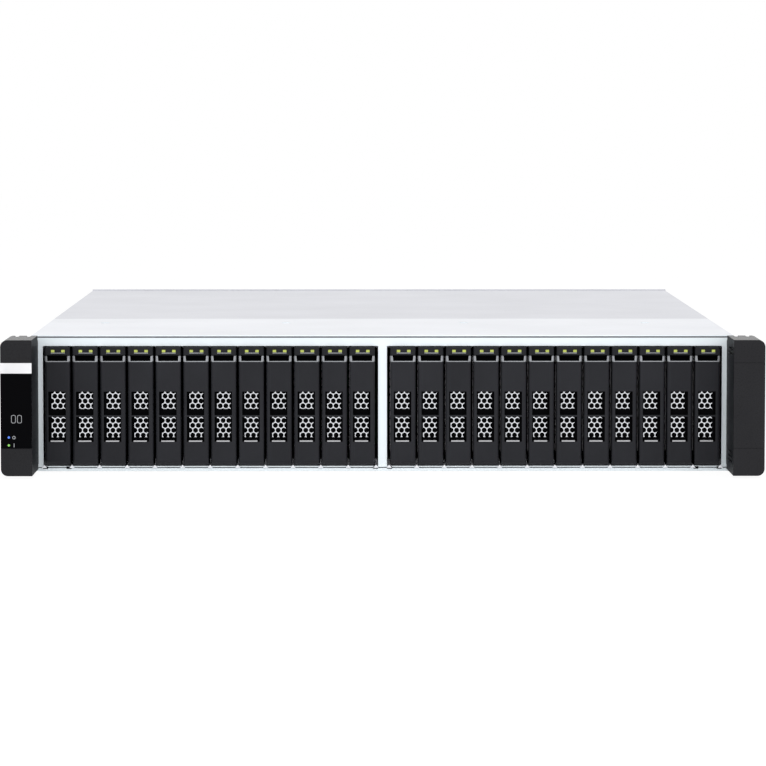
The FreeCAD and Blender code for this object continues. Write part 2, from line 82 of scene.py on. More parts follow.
camera_data = bpy.data.cameras.new("camera")
camera_data.lens = FOCAL_LENGTH
camera_data.sensor_width = 36
camera = bpy.data.objects.new("camera", camera_data)
bpy.context.scene.collection.objects.link(camera)
camera.location = place(*CAMERA_AT)
camera.rotation_euler = (place(*AIM_AT) - camera.location).to_track_quat("-Z", "Y").to_euler()
bpy.context.scene.camera = camera
bpy.context.scene.view_settings.view_transform = "Standard"

# %% [markdown]
# These small tools are what a hand would do in the window: add a box between two corners, round some
# of its edges, cut one shape out of another, join shapes. Each leaves the object at the origin with its
# place in the mesh, so that patterns on the surfaces don't slide when the parts move.

# %% Modelling tools
TOLERANCE = 0.02
CRUMB = 0.01
WELD = 0.001
SHARP_ANGLE = math.radians(28)
SMOOTH_ANGLE = math.radians(32)
FLAT_ANGLE = math.radians(0.5)


def alone(obj):
    """Selects one object and nothing else."""
    bpy.ops.object.select_all(action="DESELECT")
    obj.select_set(True)
    bpy.context.view_layer.objects.active = obj


def settled(obj, name):
    """Names an object and moves its place into the mesh."""
    obj.name = name
    alone(obj)
    bpy.ops.object.transform_apply(location=True, rotation=True, scale=True)
    return obj


def bar(name, low, high):
    """A box between two corners of the drawing, as a start for shaping."""
    bpy.ops.object.select_all(action="DESELECT")
    start, end = place(*low), place(*high)
    bpy.ops.mesh.primitive_cube_add(size=1, location=(start + end) / 2)
    bpy.context.object.scale = end - start
    return settled(bpy.context.object, name)


def rod(name, start, end, radius, sides=32):
    """A round bar between two points of the drawing."""
    bpy.ops.object.select_all(action="DESELECT")
    a, b = place(*start), place(*end)
    bpy.ops.mesh.primitive_cylinder_add(vertices=sides, radius=radius * MM, depth=(b - a).length,
                                        location=(a + b) / 2)
    bpy.context.object.rotation_euler = (b - a).to_track_quat("Z", "Y").to_euler()
    return settled(bpy.context.object, name)


def prism(name, outline, x):
    """A shape with one outline all along x, from (y, z) points of the drawing."""
    mesh = bpy.data.meshes.new(name)
    mesh.from_pydata([place(x[0], *point) for point in outline], [], [range(len(outline))])
    obj = bpy.data.objects.new(name, mesh)
    bpy.context.scene.collection.objects.link(obj)
    alone(obj)
    bpy.ops.object.mode_set(mode="EDIT")
    bpy.ops.mesh.select_all(action="SELECT")
    bpy.ops.mesh.extrude_region_move(TRANSFORM_OT_translate={"value": ((x[1] - x[0]) * MM, 0, 0)})
    bpy.ops.mesh.select_all(action="SELECT")
    bpy.ops.mesh.normals_make_consistent(inside=False)
    bpy.ops.object.mode_set(mode="OBJECT")
    return obj


def drawing(vector):
    """A point of a mesh as drawing millimetres."""
    return vector.x / MM, (vector.y - FRONT_Y) / MM, vector.z / MM


def near(value, target):
    """Whether two lengths on the drawing agree."""
    return abs(value - target) < TOLERANCE


def round_edges(obj, test, radius, segments=4):
    """Rounds the edges whose middle passes a test on its drawing place."""
    alone(obj)
    bpy.ops.object.mode_set(mode="EDIT")
    bpy.ops.mesh.select_mode(type="EDGE")
    bpy.ops.mesh.select_all(action="DESELECT")
    mesh = bmesh.from_edit_mesh(obj.data)
    for edge in mesh.edges:
        edge.select_set(test(*drawing((edge.verts[0].co + edge.verts[1].co) / 2)))
    bmesh.update_edit_mesh(obj.data)
    bpy.ops.mesh.bevel(offset=radius * MM, segments=segments, affect="EDGES")
    bpy.ops.object.mode_set(mode="OBJECT")
    return obj


def merge_crumbs(obj):
    """Merges the crumbs that a cut or a bevel leaves where it runs out of room."""
    alone(obj)
    bpy.ops.object.mode_set(mode="EDIT")
    bpy.ops.mesh.select_all(action="SELECT")
    bpy.ops.mesh.remove_doubles(threshold=CRUMB * MM)
    bpy.ops.mesh.dissolve_degenerate(threshold=CRUMB * MM)
    bpy.ops.object.mode_set(mode="OBJECT")
    return obj


def soften(obj, width, segments=2):
    """Breaks every sharp edge by a small radius, and lets the large faces stay flat in the light."""
    alone(obj)
    bevel = obj.modifiers.new("edge", "BEVEL")
    bevel.width = width * MM
    bevel.segments = segments
    bevel.limit_method = "ANGLE"
    bevel.angle_limit = SHARP_ANGLE
    bpy.ops.object.modifier_apply(modifier=bevel.name)
    merge_crumbs(obj)
    bpy.ops.object.shade_smooth_by_angle(angle=SMOOTH_ANGLE)
    flat = obj.modifiers.new("flat", "WEIGHTED_NORMAL")
    flat.keep_sharp = True
    bpy.ops.object.modifier_apply(modifier=flat.name)
    return obj


def crisp(obj):
    """Leaves every edge sharp and every face flat, as on thin folded sheet."""
    alone(obj)
    bpy.ops.object.shade_flat()
    return obj


def combine(obj, others, operation):
    """Adds shapes to an object or cuts them out of it."""
    for other in others:
        alone(obj)
        change = obj.modifiers.new("cut", "BOOLEAN")
        change.operation = operation
        change.solver = "EXACT"
        change.object = other
        bpy.ops.object.modifier_apply(modifier=change.name)
        bpy.data.objects.remove(other)
    return obj


def carve(obj, *cutters):
    """Cuts shapes out of an object."""
    return combine(obj, cutters, "DIFFERENCE")


def fuse(obj, *others):
    """Adds shapes to an object as one skin."""
    return combine(obj, others, "UNION")


def gather(name, *pieces):
    """Joins finished shapes into one object, each still its own closed skin."""
    alone(pieces[0])
    for piece in pieces[1:]:
        piece.select_set(True)
    bpy.ops.object.join()
    pieces[0].name = name
    return pieces[0]


def repeated(obj, name, x=0.0, y=0.0, z=0.0):
    """A copy with its own mesh, moved on the drawing."""
    copy = obj.copy()
    copy.data = obj.data.copy()
    copy.name = name
    copy.data.transform(Matrix.Translation((x * MM, y * MM, z * MM)))
    bpy.context.scene.collection.objects.link(copy)
    return copy


def skin(node, name, merged=True):
    """A copy of a CAD node's surface, with its triangles merged into flat faces or left as they are."""
    copy = repeated(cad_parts[node], name)
    copy.parent = None
    alone(copy)
    bpy.ops.object.mode_set(mode="EDIT")
    bpy.ops.mesh.select_all(action="SELECT")
    bpy.ops.mesh.remove_doubles(threshold=WELD * MM)
    if merged:
        bpy.ops.mesh.dissolve_limited(angle_limit=FLAT_ANGLE)
    bpy.ops.object.mode_set(mode="OBJECT")
    return copy


def paint(obj, *finishes):
    """Gives an object its finishes, the first one all over."""
    obj.data.materials.clear()
    for finish in finishes:
        obj.data.materials.append(finish)
    for face in obj.data.polygons:
        face.material_index = 0
    return obj


def paint_faces(obj, index, test):
    """Gives one of an object's finishes to the faces whose middle and normal pass a test."""
    for face in obj.data.polygons:
        if test(*drawing(face.center), face.normal):
            face.material_index = index


def paint_inside(obj, index, lowest, highest):
    """Gives one of an object's finishes to the faces whose corners all lie in a box."""
    for face in obj.data.polygons:
        corners = [drawing(obj.data.vertices[number].co) for number in face.vertices]
        if all(a < c < b for corner in corners for a, c, b in zip(lowest, corner, highest)):
            face.material_index = index


def fit(obj, body, slot, *nodes):
    """Puts a finished piece on its body, and hides the CAD nodes that it stands for."""
    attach(obj, body)
    if nodes:
        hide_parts(*nodes)
    return obj


# %% [markdown]
# Finishes come next. Each is a small node tree on Object coordinates: a fine noise shifts the colour a
# little, another one the roughness, and a bump gives the grain that light catches on. The shader's own
# numbers are typed straight into its sockets.

# %% A base for all finishes


def new_finish(name, color, metallic, roughness, specular=0.5):
    """A material with its shader set, and its node tree to add to."""
    finish = bpy.data.materials.new(name)
    finish.use_nodes = True
    shader = finish.node_tree.nodes["Principled BSDF"]
    shader.inputs["Base Color"].default_value = (*color, 1)
    shader.inputs["Metallic"].default_value = metallic
    shader.inputs["Roughness"].default_value = roughness
    shader.inputs["Specular IOR Level"].default_value = specular
    return finish, finish.node_tree, shader


def object_noise(tree, scale, stretch=(1, 1, 1), detail=3):
    """Noise on Object coordinates, in features per metre, drawn out along an axis by stretch."""
    place_node = tree.nodes.new("ShaderNodeTexCoord")
    mapping = tree.nodes.new("ShaderNodeMapping")
    mapping.inputs["Scale"].default_value = stretch
    noise = tree.nodes.new("ShaderNodeTexNoise")
    noise.inputs["Scale"].default_value = scale
    noise.inputs["Detail"].default_value = detail
    tree.links.new(place_node.outputs["Object"], mapping.inputs["Vector"])
    tree.links.new(mapping.outputs["Vector"], noise.inputs["Vector"])
    return noise.outputs["Fac"]


def vary_color(tree, shader, factor, dark, light):
    """Colour that moves between two shades with a factor."""
    ramp = tree.nodes.new("ShaderNodeValToRGB")
    ramp.color_ramp.elements[0].position = 0.3
    ramp.color_ramp.elements[0].color = (*dark, 1)
    ramp.color_ramp.elements[1].position = 0.7
    ramp.color_ramp.elements[1].color = (*light, 1)
    tree.links.new(factor, ramp.inputs["Fac"])
    tree.links.new(ramp.outputs["Color"], shader.inputs["Base Color"])


def vary_roughness(tree, shader, factor, low, high):
    """Roughness that moves between two values with a factor."""
    spread = tree.nodes.new("ShaderNodeMapRange")
    spread.inputs["From Min"].default_value = 0.3
    spread.inputs["From Max"].default_value = 0.7
    spread.inputs["To Min"].default_value = low
    spread.inputs["To Max"].default_value = high
    tree.links.new(factor, spread.inputs["Value"])
    tree.links.new(spread.outputs["Result"], shader.inputs["Roughness"])


def add_grain(tree, shader, factor, strength, depth):
    """Bump of a given depth in millimetres."""
    bump = tree.nodes.new("ShaderNodeBump")
    bump.inputs["Strength"].default_value = strength
    bump.inputs["Distance"].default_value = depth * MM
    tree.links.new(factor, bump.inputs["Height"])
    tree.links.new(bump.outputs["Normal"], shader.inputs["Normal"])


# %% [markdown]
# The chassis is zinc-coated sheet: pale, satin, with faint drawn lines along the rolling direction and a
# slow cloudiness. Most sheets are nearly all metal in the shader, so they take their brightness from the
# white studio. Only the front frame is mostly matt, so that its white comes from the lamps.

# %% Sheet metal finishes


def sheet_finish(name, light, roughness, stretch, metallic=0.85):
    """Satin zinc-coated sheet, rolled along the axis that stretch leaves small."""
    dark = tuple(0.93 * c for c in light)
    finish, tree, shader = new_finish(name, light, metallic, roughness)
    clouds = object_noise(tree, 14, detail=4)
    lines = object_noise(tree, 60, stretch, detail=2)
    vary_color(tree, shader, clouds, dark, light)
    vary_roughness(tree, shader, lines, roughness - 0.05, roughness + 0.06)
    add_grain(tree, shader, lines, 0.12, 0.02)
    return finish


roof_steel = sheet_finish("roof_steel", (0.88, 0.895, 0.935), 0.42, (1, 40, 40))
flange_steel = sheet_finish("flange_steel", (0.80, 0.865, 0.905), 0.4, (1, 60, 60), 0.12)
# Near-black painted shadow for the back faces of the seams under the roof and above the sill.
seam_shadow = sheet_finish("seam_shadow", (0.12, 0.13, 0.14), 0.6, (1, 40, 40))
cover_steel = sheet_finish("cover_steel", (0.735, 0.742, 0.785), 0.46, (1, 40, 40))
canister_steel = sheet_finish("canister_steel", (0.66, 0.67, 0.69), 0.36, (40, 40, 1))
grille_steel = sheet_finish("grille_steel", (0.84, 0.86, 0.90), 0.12, (30, 30, 1))
bar_metal = sheet_finish("bar_metal", (0.54, 0.54, 0.56), 0.34, (1, 60, 60))
spring_steel = sheet_finish("spring_steel", (0.55, 0.55, 0.57), 0.4, (30, 30, 1))
contact_gold = sheet_finish("contact_gold", (0.80, 0.58, 0.24), 0.3, (1, 30, 30))

# %% [markdown]
# Levers, caps and ears are moulded in dark plastic with a spark-eroded grain. The grain is finer than a
# tenth of a millimetre, so it is a dense noise in the bump; a second, slower noise keeps the colour alive.

# %% Plastic finishes


def moulded_finish(name, color, roughness, grain, specular=0.25):
    """Moulded plastic with a fine grain."""
    finish, tree, shader = new_finish(name, color, 0.0, roughness, specular)
    fine = object_noise(tree, grain, detail=2)
    slow = object_noise(tree, 35, detail=3)
    vary_color(tree, shader, slow, tuple(0.88 * c for c in color), tuple(1.1 * c for c in color))
    vary_roughness(tree, shader, fine, roughness - 0.06, roughness + 0.07)
    add_grain(tree, shader, fine, 0.25, 0.03)
    return finish


def gloss_finish(name, color, roughness, specular):
    """Polished plastic with a faint orange-peel in its coat."""
    finish, tree, shader = new_finish(name, color, 0.0, roughness, specular)
    ripple = object_noise(tree, 220, detail=1)
    vary_roughness(tree, shader, ripple, roughness, roughness + 0.04)
    add_grain(tree, shader, ripple, 0.04, 0.02)
    return finish


lever_black = moulded_finish("lever_black", (0.0175, 0.018, 0.0215), 0.5, 2600, 0.14)
# A mid grey: the colour of the light guide's bridge, and a painted highlight on the lever's sloping lip and
# the fronts of its horns.
bridge_grey_and_highlight = moulded_finish("bridge_grey_and_highlight", (0.30, 0.31, 0.33), 0.45, 2600)
cap_black = moulded_finish("cap_black", (0.014, 0.0145, 0.017), 0.5, 2600, 0.14)
# Near-black of the tray's tube, also painted as shade on the lever's window walls and inside the sill slots.
tube_black_and_shade = moulded_finish("tube_black_and_shade", (0.006, 0.006, 0.007), 0.6, 2600, 0.0)
ear_black = moulded_finish("ear_black", (0.0125, 0.0125, 0.0145), 0.3, 2200, 0.16)
ear_shade = moulded_finish("ear_shade", (0.0125, 0.0135, 0.016), 0.45, 1800, 0.02)
badge_white = moulded_finish("badge_white", (0.78, 0.78, 0.80), 0.4, 2200)
connector_black = moulded_finish("connector_black", (0.012, 0.012, 0.013), 0.5, 1500)
drive_black = moulded_finish("drive_black", (0.008, 0.008, 0.009), 0.5, 900, 0.1)
window_black = gloss_finish("window_black", (0.0015, 0.0015, 0.002), 0.2, 0.02)
board_green = moulded_finish("board_green", (0.02, 0.10, 0.045), 0.4, 900)

# %% [markdown]
# The lamps are small light guides lit from behind. A little emission on a coloured plastic does it, and
# a noise in the strength keeps them from looking like flat stickers.

# %% Lamp finishes


def lamp_finish(name, color, strength):
    """A light guide's end, its glow made uneven by a slow noise."""
    finish, tree, shader = new_finish(name, tuple(0.25 * c for c in color), 0.0, 0.3)
    glow = object_noise(tree, 700, detail=1)
    spread = tree.nodes.new("ShaderNodeMapRange")
    spread.inputs["To Min"].default_value = 0.5 * strength
    spread.inputs["To Max"].default_value = 1.4 * strength
    tree.links.new(glow, spread.inputs["Value"])
    tree.links.new(spread.outputs["Result"], shader.inputs["Emission Strength"])
    shader.inputs["Emission Color"].default_value = (*color, 1)
    return finish


lamp_lime = lamp_finish("lamp_lime", (0.46, 0.52, 0.10), 0.8)
lamp_blue = lamp_finish("lamp_blue", (0.10, 0.26, 1.0), 0.8)
lamp_green = lamp_finish("lamp_green", (0.26, 0.62, 0.12), 0.8)
digit_grey = lamp_finish("digit_grey", (0.42, 0.43, 0.45), 0.6)

# %% [markdown]
# The pull lever is the face of each bay: a slim upright bar with two windows, a finger notch between two
# horns at its top and a round foot on the hinge pin. Its side view says most about it, so that outline is
# drawn and extruded across; windows and the room for the hinge lugs are cut out, and the horns are joined on
# as closed shapes of their own. The lip of the notch slopes to the front; the lip and the horns' fronts are
# painted a lighter grey, a painted highlight where the edges catch the light.

# %% Pull lever
HALF_LEVER = 8.1
FACE = -3.0
LEVER_BACK = 7.0
LEVER_TOP = 74.6
NOTCH_BOTTOM = 71.3
SHOULDER = 70.5
FOOT_RADIUS = 4.0
PIVOT = (1.0, 7.75)
UPPER_WINDOW = (36.4, 51.6)
LOWER_WINDOW = (19.2, 35.3)
WINDOW_X = (-5.9, 5.3)
LIP = 0.55
EDGE = 1.6
HORN_FOOT, HORN_TIP = 6.3, 6.65
LUG_ROOM = ((8.0, 2.5), (-2.0, 2.5), (-2.6, -1.0), (2.43, -5.0), (8.0, -5.0))
LUG_ROOM_X = (6.5, 9.0)
BORE_RADIUS, PIN_RADIUS = 1.3, 1.24
FOOT_ANGLES = range(-45, -181, -9)


def front_corner(x, y, z):
    """Whether a point is on one of the two long front edges."""
    return near(abs(x), HALF_LEVER) and near(y, FACE)


def foot_point(degrees):
    """A point on the round foot of the lever."""
    turn = math.radians(degrees)
    return PIVOT[0] + FOOT_RADIUS * math.cos(turn), PIVOT[1] + FOOT_RADIUS * math.sin(turn)


def edge_cutter(side):
    """A hollow corner that rounds one long front edge."""
    x, y = side * (HALF_LEVER - EDGE), FACE + EDGE
    cutter = bar("corner", (x, FACE - 1, 0), (side * (HALF_LEVER + 1), y, 90))
    return carve(cutter, rod("round", (x, y, -1), (x, y, 91), EDGE))


def horn(side):
    """One horn beside the notch, slimmer at its tip, with a painted grey highlight in front."""
    foot = NOTCH_BOTTOM - LIP
    post = bar("horn", (side * HORN_TIP, FACE, foot), (side * HALF_LEVER, 0, LEVER_TOP))
    for vertex in post.data.vertices:
        x, y, z = drawing(vertex.co)
        if near(abs(x), HORN_TIP) and near(z, foot):
            vertex.co.x = place(side * HORN_FOOT, 0, 0).x
    merge_crumbs(carve(post, edge_cutter(side)))
    bpy.ops.object.shade_smooth_by_angle(angle=SMOOTH_ANGLE)
    paint(post, lever_black, bridge_grey_and_highlight)
    # The front faces take the grey as a painted highlight.
    paint_faces(post, 1, lambda x, y, z, n: n.y < -0.1)
    return post


def lever_shape():
    """The lever of a bay in the middle of the drawing."""
    outline = [(FACE, NOTCH_BOTTOM - LIP), (FACE + LIP, NOTCH_BOTTOM), (0, NOTCH_BOTTOM), (0, SHOULDER),
               (LEVER_BACK, SHOULDER), (LEVER_BACK, PIVOT[1] + 3)]
    outline += [foot_point(degrees) for degrees in FOOT_ANGLES]
    lever = prism("lever", outline, (-HALF_LEVER, HALF_LEVER))
    room = [(PIVOT[0] + y, PIVOT[1] + z) for y, z in LUG_ROOM]
    rooms = [prism("room", room, sorted(side * x for x in LUG_ROOM_X)) for side in (-1, 1)]
    windows = [bar("window", (WINDOW_X[0], FACE - 1, z[0]), (WINDOW_X[1], LEVER_BACK + 1, z[1]))
               for z in (UPPER_WINDOW, LOWER_WINDOW)]
    bore = rod("bore", (-HALF_LEVER - 0.9, *PIVOT), (HALF_LEVER + 0.9, *PIVOT), BORE_RADIUS)
    carve(lever, *rooms, *windows, bore, edge_cutter(-1), edge_cutter(1))
    soften(lever, 0.2)
    paint(lever, lever_black, bridge_grey_and_highlight, tube_black_and_shade)
    # The walls inside the windows take the near-black as painted shade.
    paint_faces(lever, 2, lambda x, y, z, n: n.y > -0.3 and WINDOW_X[0] - 0.2 < x < WINDOW_X[1] + 0.2
                and LOWER_WINDOW[0] - 0.2 < z < UPPER_WINDOW[1] + 0.2)
    # The sloping lip of the notch takes the grey as a painted highlight.
    paint_faces(lever, 1, lambda x, y, z, n: NOTCH_BOTTOM - LIP - 0.1 < z < NOTCH_BOTTOM + 0.1
                and n.y < -0.3 and n.z > 0.3)
    return gather("lever", lever, horn(-1), horn(1))


lever_piece = lever_shape()
print("lever faces", len(lever_piece.data.polygons))

# %% [markdown]
# A bright bar lies on the sill of the lower window. It is a separate strip of aluminium, so it is a
# separate piece: a small box with rounded ends.

# %% Bright bar of the lever
BAR_X = (-4.7, 3.9)
BAR_HEIGHT = 0.9
bar_piece = bar("grip_bar", (BAR_X[0], FACE - 0.2, LOWER_WINDOW[0]),
                (BAR_X[1], FACE + 2, LOWER_WINDOW[0] + BAR_HEIGHT))
soften(bar_piece, 0.25, 3)
paint(bar_piece, bar_metal)

# %% [markdown]
# Behind the lever sits the tray's moulded front: a tube that the air goes through, two lugs that hold the
# hinge pin, and the cap with the lamps. The tube is a box with a box cut out, which leaves a thick block
# at its top for the latch behind the finger notch. Two near-black cross bars stand just in front of the
# grille as painted shade: they darken the foot of each window.

# %% Moulded front of the tray
TUBE = (7.6, 18.0)
TUBE_LOW, TUBE_HIGH = 3.95, 75.0
TUBE_WALL = 1.2
TUBE_X = (-4.7, 4.1)
LATCH_LOW = 69.6
CAP_TOP = 80.35
LUG_HALF = 1.6
WINDOW_SHADE_BARS = ((17.4, 21.2), (35.0, 39.5))


def lug(side):
    """A plate beside the lever's foot that holds one end of the hinge pin."""
    return bar("lug", (side * (HALF_LEVER - TUBE_WALL), PIVOT[0] - LUG_HALF, PIVOT[1] - LUG_HALF),
               (side * HALF_LEVER, TUBE[0] + 0.5, PIVOT[1] + LUG_HALF))


def tray_front_shape():
    """Tube, lugs and cap."""
    tube = bar("tube", (-HALF_LEVER, TUBE[0], TUBE_LOW), (HALF_LEVER, TUBE[1], TUBE_HIGH))
    hollow = bar("hollow", (TUBE_X[0], TUBE[0] - 1, TUBE_LOW + TUBE_WALL),
                 (TUBE_X[1], TUBE[1] + 1, LATCH_LOW))
    # Near-black bars at the foot of each window stand for the shade there: painted shade.
    cross = [bar("cross", (TUBE_X[0] - 0.5, TUBE[0], z[0]), (TUBE_X[1] + 0.5, TUBE[0] + 0.5, z[1]))
             for z in WINDOW_SHADE_BARS]
    tube = fuse(carve(tube, hollow), lug(-1), lug(1), *cross)
    soften(tube, 0.12)
    paint(tube, tube_black_and_shade, cap_black)
    paint_faces(tube, 1, lambda x, y, z, n: n.y < -0.5 and z > LATCH_LOW)
    cap = bar("cap", (-HALF_LEVER, FACE, TUBE_HIGH), (HALF_LEVER, TUBE[1], CAP_TOP))
    round_edges(cap, front_corner, 1.0, 4)
    soften(cap, 0.25)
    paint(cap, cap_black)
    return gather("tray_front", tube, cap)


front_piece = tray_front_shape()
print("tray front faces", len(front_piece.data.polygons))

# %% [markdown]
# Each cap shows two lamps, the ends of one clear light guide. The guide's bridge shows as a thin pale
# line under them. Lamps and bridge are rounded bars in one object with two finishes.

# %% Light guide of the tray
LAMP_X = (-2.9, 3.7)
LAMP_Z = (76.9, 78.5)
HALF_LAMP = 1.1


def light_guide_shape():
    """Two lamps and the bridge between them."""
    lamps = [bar("lamp", (x - HALF_LAMP, FACE - 0.2, LAMP_Z[0]), (x + HALF_LAMP, FACE + 1, LAMP_Z[1]))
             for x in LAMP_X]
    lamps = [soften(lamp, 0.2) for lamp in lamps]
    bridge = bar("bridge", (LAMP_X[0] - 1.2, FACE - 0.3, LAMP_Z[0] - 0.7),
                 (LAMP_X[1] + 1.2, FACE + 1, LAMP_Z[0] - 0.2))
    soften(bridge, 0.1)
    guide = paint(gather("light_guide", *lamps, bridge), lamp_lime, bridge_grey_and_highlight)
    paint_faces(guide, 1, lambda x, y, z, n: z < LAMP_Z[0] - 0.1)
    return guide


guide_piece = light_guide_shape()

# %% [markdown]
# The grille behind the windows is a honeycomb of steel in the mouth of the tube. One cell is a hexagon
# with a point at the middle of each side, inset once; the inner ring is drawn out to a circle and its face
# removed. Rows of cells are copied half a pitch apart, merged, trimmed and given the sheet's thickness.

# %% Honeycomb
HEX_PITCH = 3.653
HOLE_RADIUS = 1.65
SHEET = 1.0
CELL_INSET = 0.3
CELL_WELD = 0.02


def hex_cell(x, y, z):
    """One open cell of the honeycomb around a point, with a round hole."""
    bpy.ops.object.select_all(action="DESELECT")
    bpy.ops.mesh.primitive_circle_add(vertices=6, radius=HEX_PITCH / math.sqrt(3) * MM, fill_type="NGON",
                                      location=place(x, y, z), rotation=(math.radians(90), 0, 0))
    cell = settled(bpy.context.object, "cell")
    bpy.ops.object.mode_set(mode="EDIT")
    bpy.ops.mesh.select_all(action="SELECT")
    bpy.ops.mesh.subdivide(number_cuts=1)
    bpy.ops.mesh.inset(thickness=CELL_INSET * MM, depth=0)
    mesh = bmesh.from_edit_mesh(cell.data)
    middle = place(x, y, z)
    for vertex in mesh.verts:
        if vertex.select:
            vertex.co = middle + (vertex.co - middle).normalized() * HOLE_RADIUS * MM
    bmesh.update_edit_mesh(cell.data)
    bpy.ops.mesh.delete(type="FACE")
    bpy.ops.object.mode_set(mode="OBJECT")
    return cell


def honeycomb(name, x, y, z, centre):
    """A pierced sheet between limits, with one hole on a given centre."""
    step = HEX_PITCH * math.sqrt(3) / 2
    cell = hex_cell(centre[0], y, centre[1])
    rows = range(math.floor((z[0] - centre[1]) / step), math.ceil((z[1] - centre[1]) / step) + 1)
    first = math.floor((x[0] - centre[0]) / HEX_PITCH) - 1
    last = math.ceil((x[1] - centre[0]) / HEX_PITCH) + 1
    cells = []
    for row in rows:
        shift = HEX_PITCH / 2 * (row % 2)
        for column in range(first, last):
            cells.append(repeated(cell, "cell", column * HEX_PITCH + shift, 0, row * step))
    bpy.data.objects.remove(cell)
    wall = gather(name, *cells)
    bpy.ops.object.mode_set(mode="EDIT")
    bpy.ops.mesh.select_all(action="SELECT")
    bpy.ops.mesh.remove_doubles(threshold=CELL_WELD * MM)
    for point, direction in ((place(x[0], y, 0), (-1, 0, 0)), (place(x[1], y, 0), (1, 0, 0)),
                             (place(0, y, z[0]), (0, 0, -1)), (place(0, y, z[1]), (0, 0, 1))):
        bpy.ops.mesh.select_all(action="SELECT")
        bpy.ops.mesh.bisect(plane_co=point, plane_no=direction, clear_outer=True)
    bpy.ops.object.mode_set(mode="OBJECT")
    thickness = wall.modifiers.new("sheet", "SOLIDIFY")
    thickness.thickness = SHEET * MM
    thickness.offset = -1 if wall.data.polygons[0].normal.y < 0 else 1
    bpy.ops.object.modifier_apply(modifier=thickness.name)
    return wall


# %% [markdown]
# The sled is a strip of the same steel bent round the drive: two long arms and an open front wall behind
# the tube. The grille is painted with it, as one object of the tray.

# %% Sled
GRILLE_Y = 8.2
SLED_FRONT, SLED_BACK = 18.0, 121.4
SLED_HALF = 7.6
HALF_GRILLE = 4.95
SLED_LOW, SLED_HIGH = 6.0, 77.85
HOLE_ROW = (1.0, 47.85)


def sled_shape():
    """Honeycomb, the edges of the front wall and the two arms that hold the drive."""
    wall = honeycomb("wall", TUBE_X, GRILLE_Y, (TUBE_LOW + TUBE_WALL, LATCH_LOW), HOLE_ROW)
    edges = [bar("edge", (s * HALF_GRILLE, SLED_FRONT, SLED_LOW + SHEET),
                 (s * SLED_HALF, SLED_FRONT + SHEET, SLED_HIGH - SHEET)) for s in (-1, 1)]
    arms = [soften(bar("arm", (-SLED_HALF, SLED_FRONT, z), (SLED_HALF, SLED_BACK, z + SHEET)), 0.2)
            for z in (SLED_LOW, SLED_HIGH - SHEET)]
    return paint(gather("sled", wall, *edges, *arms), grille_steel)


sled_piece = sled_shape()
print("sled faces", len(sled_piece.data.polygons))

# %% [markdown]
# The drive between the sled's arms is a closed case with a pressed lid on each side. A box with rounded
# uprights is the start; the two broad faces are inset and pushed in a little.

# %% Drive
DRIVE_LOW, DRIVE_HIGH = (-7.5, 19.0, 7.0), (7.5, 119.4, 76.85)
LID_BORDER, LID_SLOPE, LID_DEPTH = 3.2, 0.6, 0.5


def drive_shape():
    """Drive case with sunk lids."""
    case = bar("drive", DRIVE_LOW, DRIVE_HIGH)
    alone(case)
    bpy.ops.object.mode_set(mode="EDIT")
    mesh = bmesh.from_edit_mesh(case.data)
    bpy.ops.mesh.select_all(action="DESELECT")
    for face in mesh.faces:
        face.select_set(abs(face.normal.x) > 0.9)
    bmesh.update_edit_mesh(case.data)
    bpy.ops.mesh.inset(thickness=LID_BORDER * MM, depth=0, use_individual=True)
    bpy.ops.mesh.inset(thickness=LID_SLOPE * MM, depth=-LID_DEPTH * MM, use_individual=True)
    bpy.ops.object.mode_set(mode="OBJECT")
    soften(case, 0.5)
    return paint(case, drive_black)


drive_piece = drive_shape()

# %% [markdown]
# Two small pieces finish the tray: the hinge pin between the lugs, and the row of spring fingers on its
# left side that close the gap to the next bay against radio noise.

# %% Hinge pin and spring fingers
FINGER_PITCH = 5.15
FINGER_ROWS = 12
FINGER_LOW, FINGER_HEIGHT = 13.0, 3.7
FINGER_Y = (10.2, 15.8)
FINGER_FACE = -HALF_LEVER - 0.4


def pin_shape():
    """Hinge pin with broken ends."""
    end = HALF_LEVER - TUBE_WALL
    pin = rod("hinge_pin", (-end, *PIVOT), (end, *PIVOT), PIN_RADIUS)
    return paint(soften(pin, 0.15), grille_steel)


def finger_edge(x, y, z):
    """Whether a point is on one of the two upright outer edges of a finger."""
    return near(x, FINGER_FACE) and any(near(y, end) for end in FINGER_Y)


def finger_shape():
    """Spring strip with fingers rounded on their outer upright edges."""
    strip = bar("strip", (-HALF_LEVER - 0.1, 9.6, 12), (-HALF_LEVER, 16.4, 74))
    fingers = [strip]
    for row in range(FINGER_ROWS):
        low = FINGER_LOW + row * FINGER_PITCH
        finger = bar("finger", (FINGER_FACE, FINGER_Y[0], low),
                     (-HALF_LEVER - 0.05, FINGER_Y[1], low + FINGER_HEIGHT))
        round_edges(finger, finger_edge, 0.3, 3)
        fingers.append(finger)
    return paint(gather("spring_fingers", *fingers), spring_steel)


pin_piece = pin_shape()
finger_piece = finger_shape()

# %% [markdown]
# All pieces of one bay exist now, in the middle of the drawing. Each is copied to every bay with its own
# mesh and put on that bay's bodies: the lever and its bar turn with the lever, the rest slides with the tray.

